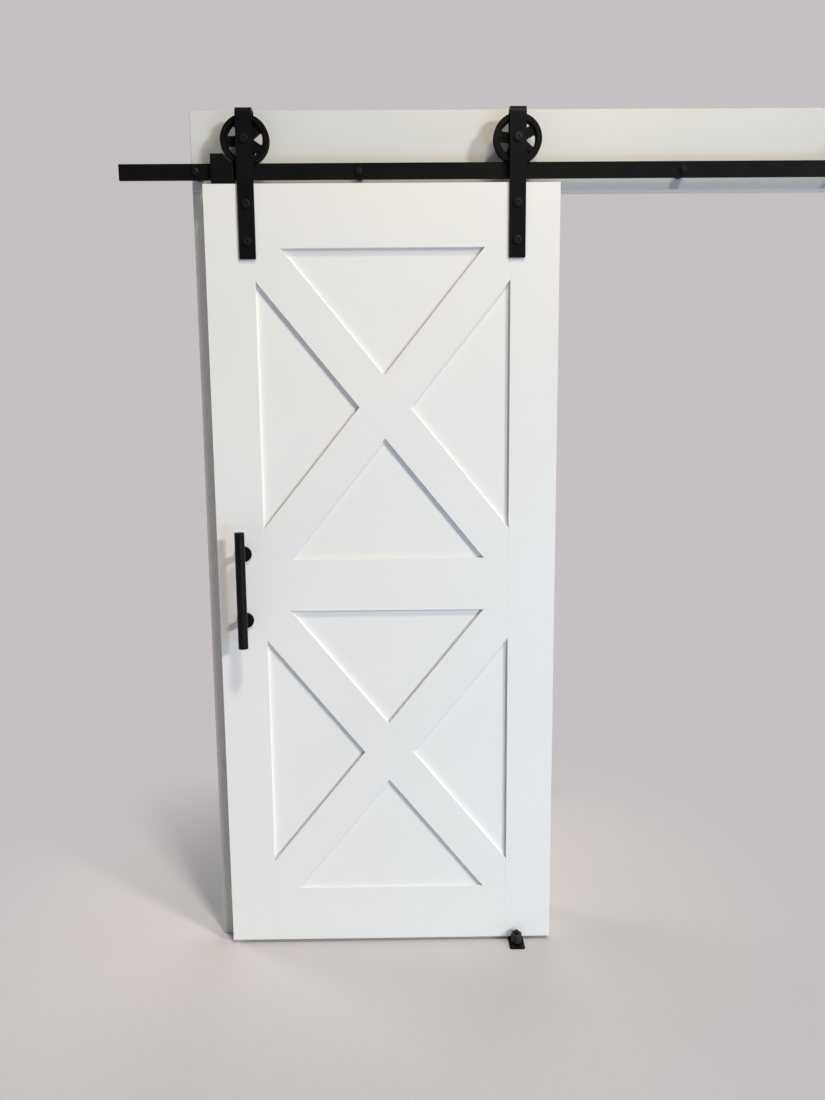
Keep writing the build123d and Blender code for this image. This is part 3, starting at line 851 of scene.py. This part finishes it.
@dataclass
class HangingGear:
    """Straps, wheels with their bearings, axles and the bolts through the leaf."""

    strap_edge: float = 0.6 * MM
    head_radius: float = 10.5 * MM
    head_height: float = 4.0 * MM
    head_dome: float = 1.4 * MM
    socket: Socket = Socket(flats=6.0 * MM, depth=2.2 * MM)
    foot_share: float = 0.95
    bolt_thread: Thread = Thread(4.0 * MM, 3.4 * MM, 1.25 * MM)
    bolt_thread_length: float = 13.0 * MM
    bolt_lead: float = 0.8 * MM
    bolt_bore: float = 4.04 * MM
    bolt_nut_flats: float = 13.0 * MM
    axle_thread: Thread = Thread(6.0 * MM, 5.1 * MM, 1.75 * MM)
    axle_thread_length: float = 9.5 * MM
    axle_lead: float = 1.0 * MM
    axle_nut_flats: float = 19.0 * MM
    axle_bore: float = 6.04 * MM
    washer_bore: float = 4.25 * MM
    ball_radius: float = 3.0 * MM
    ball_count: int = 8
    ball_rows: int = 11
    ball_turns: int = 20
    ball_circle: float = 11.2 * MM
    groove_share: float = 0.75
    groove_rows: int = 9
    race_edge: float = 0.4 * MM
    inner_shoulder: float = 9.0 * MM
    outer_shoulder: float = 13.4 * MM
    shield_reach: float = 9.3 * MM
    shield_thickness: float = 0.35 * MM
    shield_inset: float = 0.4 * MM

    def dress(self) -> None:
        """Coat the straps and wheels, and ease the straps' edges."""
        dress((*both("hanger"), *both("wheel")), BLACK_COAT)
        dress(("axle_spacers",), BLACK_OXIDE)
        ease(both("hanger"), self.strap_edge)

    def bolt_places(self, depth: float) -> list[Place]:
        """The four bolts' places at one depth."""
        box = Box.of("door_bolts")
        return [(x, depth, z) for x in box.inset(0, self.head_radius) for z in box.inset(2, self.head_radius)]

    def bolt(self, thread: Thread, tail: float, thread_length: float, lead: float) -> Turned:
        """Bolt with a low domed head and a hexagon socket, seated at height 0 with its shank upwards.

        Args:
            thread: its thread, whose crest is also the shank's radius.
            tail: height of the shank's end.
            thread_length: length of the threaded stretch, with its lead.
            lead: length of the chamfer at the end.

        Returns:
            The bolt's surface.
        """
        start = tail - thread_length
        dome = quarter(self.head_radius, self.head_height, self.head_dome)
        head = [*self.socket.rows(self.head_height), *dome, (self.head_radius, 0.0)]
        shank = [(thread.crest, 0.0), (thread.crest, start), *thread.rows(start, tail - lead)]
        return Turned([*flipped(head), *shank, (thread.root * self.foot_share, tail)])

    def bolts(self) -> None:
        """Door bolts with domed heads, their nuts and washers behind the leaf."""
        front = Box.of("hanger_left").low[1]
        tail = Box.of("door_bolts").high[1] - front
        shape = self.bolt(self.bolt_thread, tail, self.bolt_thread_length, self.bolt_lead)
        fasten("door_bolts_domed", shape, self.bolt_places(front), "door", "door_bolts")

        nuts = Box.of("door_bolt_nuts")
        shape = nut(self.bolt_nut_flats, nuts.size[1], self.bolt_bore, self.bolt_thread)
        fasten("door_nuts_chamfered", shape, self.bolt_places(nuts.low[1]), "door", "door_bolt_nuts")

        washers = Box.of("door_bolt_washers")
        radius = (washers.size[0] - nuts.size[0]) / 2 + hexagon(self.bolt_nut_flats)[0]
        shape = washer(radius, self.washer_bore, washers.size[1])
        fasten("door_washers", shape, self.bolt_places(washers.low[1]), "door", "door_bolt_washers")

    def axles(self) -> None:
        """Axle bolts with the same domed heads, and their nuts."""
        front = Box.of("hanger_left").low[1]
        nuts = Box.of("axle_nuts")
        nut_places = []
        for side in SIDES:
            axle = Box.of(f"axle_{side}")
            x, _, z = axle.middle
            shape = self.bolt(self.axle_thread, axle.high[1] - front, self.axle_thread_length, self.axle_lead)
            fasten(f"axle_bolt_{side}", shape, [(x, front, z)], "door", f"axle_{side}")
            nut_places.append((x, nuts.low[1], nuts.middle[2]))
        shape = nut(self.axle_nut_flats, nuts.size[1], self.axle_bore, self.axle_thread)
        fasten("axle_nuts_chamfered", shape, nut_places, "door", "axle_nuts")

    def race(self, shoulder: float, wall: float, width: float) -> Turned:
        """Bearing ring with a ball groove: the groove's radius follows the ball's circle across it.

        Args:
            shoulder: radius of the ring's side towards the balls.
            wall: radius of its other side.
            width: its width along the axis.

        Returns:
            The ring's surface.
        """
        groove_half = self.ball_radius * self.groove_share
        across = np.linspace(-groove_half, groove_half, self.groove_rows)
        sink = np.sqrt(self.ball_radius**2 - across**2)
        towards = 1 if shoulder > wall else -1
        groove = [(self.ball_circle - towards * s, width / 2 + a) for s, a in zip(sink, across)]
        chamfer = wall + towards * self.race_edge
        rows = [
            (wall, self.race_edge),
            (wall, width - self.race_edge),
            (chamfer, width),
            (shoulder, width),
            *reversed(groove),
            (shoulder, 0.0),
            (chamfer, 0.0),
        ]
        return Turned(rows, Ends.LOOP)

    def shield(self, low: float) -> Turned:
        """Thin pressed ring that closes the gap between the races, from a height upwards."""
        high = low + self.shield_thickness
        near, far = self.shield_reach, self.outer_shoulder
        return Turned([(near, low), (far, low), (far, high), (near, high)], Ends.LOOP)

    def ball(self) -> Turned:
        """One bearing ball."""
        tilt = np.linspace(0, math.pi, self.ball_rows + 2)[1:-1]
        rows = [(self.ball_radius * math.sin(a), -self.ball_radius * math.cos(a)) for a in tilt]
        return Turned(rows, turns=self.ball_turns)

    def bearings(self) -> None:
        """Ball bearing in each wheel: the outer ring, shields and balls turn with the wheel."""
        for side in SIDES:
            outer = Box.of(f"bearing_outer_{side}")
            width = outer.size[1]
            place = np.array((outer.middle[0], outer.low[1], outer.middle[2]))
            centres = [
                place + np.array((self.ball_circle * math.cos(a), width / 2, self.ball_circle * math.sin(a)))
                for a in circle(self.ball_count)
            ]
            maker = Maker(f"ball_race_outer_{side}")
            maker.repeat(self.race(self.outer_shoulder, outer.size[0] / 2, width), [place])
            for low in (self.shield_inset, width - self.shield_inset - self.shield_thickness):
                maker.repeat(self.shield(low), [place])
            maker.repeat(self.ball(), centres)
            maker.piece(f"{side}_wheel", BEARING_STEEL, "bearing_steel", f"bearing_outer_{side}")
            maker = Maker(f"ball_race_inner_{side}")
            maker.repeat(self.race(self.inner_shoulder, self.axle_bore, width), [place])
            maker.piece("door", BEARING_STEEL, "bearing_steel", f"bearing_inner_{side}")


@dataclass
class EndStops:
    """Stops clamped over the rail's ends, their pads and set screws."""

    edge: float = 0.6 * MM
    socket: Socket = Socket(flats=3.0 * MM, depth=3.0 * MM)
    thread: Thread = Thread(3.0 * MM, 2.5 * MM, 1.0 * MM)
    thread_low: float = 0.6 * MM
    rim: float = 0.5 * MM
    rim_and_lead: float = 0.7 * MM
    foot_share: float = 0.9

    def dress(self) -> None:
        """Coat the stops and blacken the pads."""
        dress(both("end_stop"), BLACK_COAT)
        dress(both("stop_bumper"), BLACK_RUBBER)
        ease(both("end_stop"), self.edge)

    def set_screws(self) -> None:
        """Threaded grub screws with a hexagon socket, flush with the back of the stops."""
        box = Box.of("stop_set_screws")
        length = box.size[1]
        radius = self.thread.crest
        rows = self.socket.rows(length)
        rows += [(radius - self.rim, length), (radius, length - self.rim)]
        rows += reversed(self.thread.rows(self.thread_low, length - self.rim_and_lead))
        rows += [(self.thread.root * self.foot_share, 0.0)]
        places = [(x, box.low[1], box.middle[2]) for x in box.inset(0, radius)]
        fasten("grub_screws", Turned(rows), places, "frame", "stop_set_screws")


@dataclass
class Pull:
    """Round bar on two posts with rosettes, screwed from behind."""

    head: PanHead = PanHead(
        radius=6.0 * MM,
        height=3.5 * MM,
        edge=1.8 * MM,
        recess_reach=2.9 * MM,
        recess_half_width=0.75 * MM,
        recess_depth=1.6 * MM,
    )
    thread: Thread = Thread(3.0 * MM, 2.45 * MM, 1.0 * MM)
    thread_length: float = 24.0 * MM
    lead: float = 0.6 * MM
    foot_share: float = 0.9

    def dress(self) -> None:
        """Coat the bar, posts and rosettes."""
        dress(("pull_bar", "pull_posts", "pull_rosettes"), PULL_COAT)

    def screws(self) -> None:
        """Pan-head screws with a cross recess, through the leaf into the posts."""
        box = Box.of("pull_screws")
        back = Box.of("stile_left").high[1]
        reach = back - box.low[1]
        start = reach - self.thread_length
        rows = self.head.rows(0.0)
        rows += [(self.thread.crest, 0.0), (self.thread.crest, -start)]
        rows += flipped(self.thread.rows(start, reach - self.lead))
        rows += [(self.thread.root * self.foot_share, -reach)]
        places = [(box.middle[0], back, z) for z in box.inset(2, self.head.radius)]
        fasten("pull_screws_pan", Turned(rows), places, "door", "pull_screws")


@dataclass
class FloorGuide:
    """Base plate on the floor with a roller each side of the leaf."""

    nut_flats: float = 13.0 * MM
    nut_height: float = 5.0 * MM
    dome_radius: float = 5.6 * MM
    dome_start: float = 0.12
    dome_rows: int = 9
    head: PanHead = PanHead(
        radius=5.0 * MM,
        height=2.4 * MM,
        edge=1.2 * MM,
        recess_reach=2.5 * MM,
        recess_half_width=0.65 * MM,
        recess_depth=1.4 * MM,
    )
    neck_radius: float = 2.2 * MM
    neck_end: float = 0.3 * MM
    thread: Thread = Thread(2.5 * MM, 1.8 * MM, 1.9 * MM, sharpness=1.7)
    tip_length: float = 5.0 * MM

    def dress(self) -> None:
        """Coat the plate, blacken the posts and give the rollers their nylon."""
        dress(("guide_base",), BLACK_COAT)
        dress(("guide_axles", "guide_washers"), BLACK_OXIDE)
        dress(("guide_roller_front", "guide_roller_back"), BLACK_NYLON)

    def cap_nuts(self) -> None:
        """Acorn nuts: a chamfered hexagon under a domed cap."""
        box = Box.of("guide_cap_nuts")
        outline, face, drop = chamfered_hexagon(self.nut_flats)
        top = self.nut_height
        rise = box.size[2] - top
        bend = np.linspace(self.dome_start, math.pi / 2, self.dome_rows)
        rows: list[Row] = [(self.dome_radius * math.sin(a), top + rise * math.cos(a)) for a in bend]
        rows += [(face, top), (outline, top - drop), (outline, drop), (face, 0.0)]
        x = box.low[0] + outline[0]
        places = [(x, y, box.low[2]) for y in box.inset(1, self.nut_flats / 2)]
        fasten("cap_nuts_domed", Turned(rows), places, "frame", "guide_cap_nuts", Facing.UP)

    def floor_screws(self) -> None:
        """Pan-head wood screws with a cross recess, through the base into the floor."""
        box = Box.of("floor_screws")
        base_top = Box.of("guide_base").high[2]
        rows = self.head.rows(base_top)
        rows += [(self.neck_radius, base_top), (self.neck_radius, self.neck_end)]
        rows += flipped(self.thread.rows(0.0, -box.low[2], self.tip_length))
        places = [(x, y, 0.0) for x in box.inset(0, self.head.radius) for y in box.inset(1, self.head.radius)]
        fasten("floor_screws_pan", Turned(rows), places, "frame", "floor_screws", Facing.UP)


@dataclass(frozen=True)
class Lamp:
    """What every lamp has: a name and a colour."""

    name: str
    colour: Colour

    def make(self, kind: str, energy: float, ahead: Vector) -> bpy.types.Object:
        """Make the lamp at the origin.

        Args:
            kind: Blender's name of the lamp's type.
            energy: its watts, or a far lamp's strength.
            ahead: direction in which it shines.

        Returns:
            The lamp.
        """
        data = bpy.data.lights.new(self.name, kind)
        data.energy = energy
        data.color = self.colour
        lamp = bpy.data.objects.new(self.name, data)
        lamp.rotation_euler = ahead.to_track_quat("-Z", "Y").to_euler()
        bpy.context.scene.collection.objects.link(lamp)
        return lamp


@dataclass(frozen=True)
class SoftLamp(Lamp):
    """Area lamp that points at a place."""

    place: Place
    aim: Place
    size: Span
    watts: float

    def build(self) -> None:
        """Make the lamp and put it at its place."""
        lamp = self.make("AREA", self.watts, Vector(self.aim) - Vector(self.place))
        lamp.location = self.place
        lamp.visible_camera = False
        lamp.data.shape = "RECTANGLE"
        lamp.data.size, lamp.data.size_y = self.size


@dataclass(frozen=True)
class FarLamp(Lamp):
    """Lamp so far away that it lights every height alike, with soft-edged shadows."""

    towards: Place
    strength: float
    spread: float

    def build(self) -> None:
        """Make the lamp, shining against the direction that leads towards it."""
        lamp = self.make("SUN", self.strength, -Vector(self.towards))
        lamp.data.angle = math.radians(self.spread)


@dataclass
class Studio:
    """Pale floor, plain background and soft lamps."""

    backdrop: Colour = (0.56, 0.525, 0.535)
    gloss_room: Colour = (0.10, 0.10, 0.105)
    ambient: Colour = (0.054, 0.058, 0.063)
    floor_colour: Colour = (0.57, 0.55, 0.57)
    floor_tints: Span = (0.97, 1.03)
    floor_roughness: float = 0.9
    floor_grain_per_metre: float = 260.0
    floor_reach: Span = (0.5, 30.0)
    floor_rings: int = 12
    floor_turns: int = 64
    floor_drop: float = 0.3 * MM
    fade: Span = (0.45, 1.6)
    lamps: tuple[SoftLamp | FarLamp, ...] = (
        FarLamp("key_lamp", (1.0, 0.955, 0.88), towards=(0.74, -0.58, 0.34), strength=1.85, spread=7.0),
        FarLamp("ceiling_lamp", (1.0, 0.92, 0.78), towards=(0.30, -0.50, 1.05), strength=1.55, spread=6.0),
        SoftLamp("warm_lamp", (1.0, 0.83, 0.56), (0.62, -1.0, 3.05), (0.3, 0.0, 1.2), (0.26, 0.26), 6.5),
        SoftLamp("cool_lamp", (0.26, 0.62, 1.0), (1.8, -2.6, 0.4), (0.1, 0.0, 0.4), (1.0, 0.7), 27.0),
        SoftLamp("rear_lamp", (1.0, 0.98, 0.96), (0.9, 3.6, 3.2), (0.1, 0.9, 0.2), (3.0, 2.4), 70.0),
        SoftLamp("side_lamp", (1.0, 0.98, 0.96), (-3.4, 1.6, 1.8), (-0.3, 0.1, 1.1), (1.4, 1.8), 60.0),
    )

    def world(self) -> None:
        """World of three plain colours: one lights, one shows in gloss and one is the background."""
        world = bpy.data.worlds.new("studio_world")
        bpy.context.scene.world = world
        sheet = NodeSheet(world)
        path = sheet.add("ShaderNodeLightPath", {})
        either = sheet.add(
            "ShaderNodeMath",
            {0: path.outputs["Is Glossy Ray"], 1: path.outputs["Is Transmission Ray"]},
            operation="MAXIMUM",
        )
        light, gloss, picture = (
            sheet.add("ShaderNodeBackground", {"Color": (*colour, 1.0)}).outputs[0]
            for colour in (self.ambient, self.gloss_room, self.backdrop)
        )
        unseen = sheet.mix(either.outputs[0], light, gloss)
        surface = sheet.mix(path.outputs["Is Camera Ray"], unseen, picture)
        sheet.add("ShaderNodeOutputWorld", {"Surface": surface})

    def floor_material(self) -> bpy.types.Material:
        """Matt floor that turns into the background's colour far from the object."""
        material = bpy.data.materials.new("studio_floor")
        sheet = NodeSheet(material)
        where = sheet.place()
        distance = sheet.add("ShaderNodeVectorMath", {0: where}, operation="LENGTH")
        share = sheet.add(
            "ShaderNodeMapRange",
            {"Value": distance.outputs["Value"], "From Min": self.fade[0], "From Max": self.fade[1]},
            interpolation_type="SMOOTHSTEP",
        )
        grain = sheet.noise(where, self.floor_grain_per_metre, detail=4.0)
        low, high = (shade(self.floor_colour, tint) for tint in self.floor_tints)
        matt = sheet.add(
            "ShaderNodeBsdfPrincipled",
            {"Base Color": sheet.blend(grain, low, high), "Roughness": self.floor_roughness},
        )
        glow = sheet.add("ShaderNodeEmission", {"Color": (*self.backdrop, 1.0)})
        surface = sheet.mix(share.outputs["Result"], matt.outputs[0], glow.outputs[0])
        sheet.add("ShaderNodeOutputMaterial", {"Surface": surface})
        return material

    def floor(self) -> None:
        """Round floor of rings that widen outwards, just under the object's feet."""
        count = (self.floor_rings, self.floor_turns)
        angle = circle(self.floor_turns)
        radii = np.geomspace(*self.floor_reach, self.floor_rings)[:, None]
        grid = np.stack([radii * np.cos(angle), radii * np.sin(angle), np.full(count, -self.floor_drop)], -1)
        points = np.vstack([grid.reshape(-1, 3), [[0, 0, -self.floor_drop]]])
        number = np.arange(math.prod(count)).reshape(count)
        aside = np.roll(number, -1, axis=1)
        quads = np.stack([number[:-1], number[1:], aside[1:], aside[:-1]], -1).reshape(-1, 4)
        fan = np.stack([np.full(self.floor_turns, len(points) - 1), number[0], aside[0]], -1)
        mesh = bpy.data.meshes.new("studio_floor")
        mesh.from_pydata(points.tolist(), [], [*quads.tolist(), *fan.tolist()])
        mesh.materials.append(self.floor_material())
        floor = bpy.data.objects.new("studio_floor", mesh)
        bpy.context.scene.collection.objects.link(floor)

    def build(self) -> None:
        """Set up the world, the floor and the lamps."""
        self.world()
        self.floor()
        for lamp in self.lamps:
            lamp.build()
        log.info("studio ready: %d lamps", len(self.lamps))


@dataclass(frozen=True)
class Viewpoint:
    """Camera at the photograph's angle."""

    place: Place = (0.0494, -2.3716, 1.4778)
    yaw: float = 0.526
    pitch: float = 8.233
    roll: float = -0.491
    focal_pixels: float = 849.4
    long_side_pixels: float = 1100.0
    sensor: float = 36.0
    clip: Span = (0.05, 100.0)

    def build(self) -> None:
        """Make the camera from its place and its three turns.

        The view's direction is (sin yaw cos pitch, cos yaw cos pitch, -sin pitch), and roll turns the
        picture's right and up about it.
        """
        yaw, pitch, roll = (math.radians(a) for a in (self.yaw, self.pitch, self.roll))
        ahead = Vector((math.sin(yaw) * math.cos(pitch), math.cos(yaw) * math.cos(pitch), -math.sin(pitch)))
        level = Vector((math.cos(yaw), -math.sin(yaw), 0.0))
        upward = level.cross(ahead)
        right = level * math.cos(roll) + upward * math.sin(roll)
        up = upward * math.cos(roll) - level * math.sin(roll)
        data = bpy.data.cameras.new("photo_camera")
        data.sensor_width = self.sensor
        data.lens = self.focal_pixels * self.sensor / self.long_side_pixels
        data.clip_start, data.clip_end = self.clip
        camera = bpy.data.objects.new("photo_camera", data)
        turned = Matrix((right, up, -ahead)).transposed().to_4x4()
        camera.matrix_world = Matrix.Translation(self.place) @ turned
        bpy.context.scene.collection.objects.link(camera)
        bpy.context.scene.camera = camera


def main() -> None:
    """Build every sub-assembly in order."""
    logging.basicConfig(level=logging.INFO, format="%(message)s")
    bpy.context.scene.view_settings.view_transform = "Standard"
    Leaf().dress()
    Doorway().dress()
    rail = RailRun()
    rail.dress()
    rail.screws()
    rail.washers()
    gear = HangingGear()
    gear.dress()
    gear.bolts()
    gear.axles()
    gear.bearings()
    stops = EndStops()
    stops.dress()
    stops.set_screws()
    pull = Pull()
    pull.dress()
    pull.screws()
    guide = FloorGuide()
    guide.dress()
    guide.cap_nuts()
    guide.floor_screws()
    Studio().build()
    Viewpoint().build()


if __name__ == "__main__":
    main()
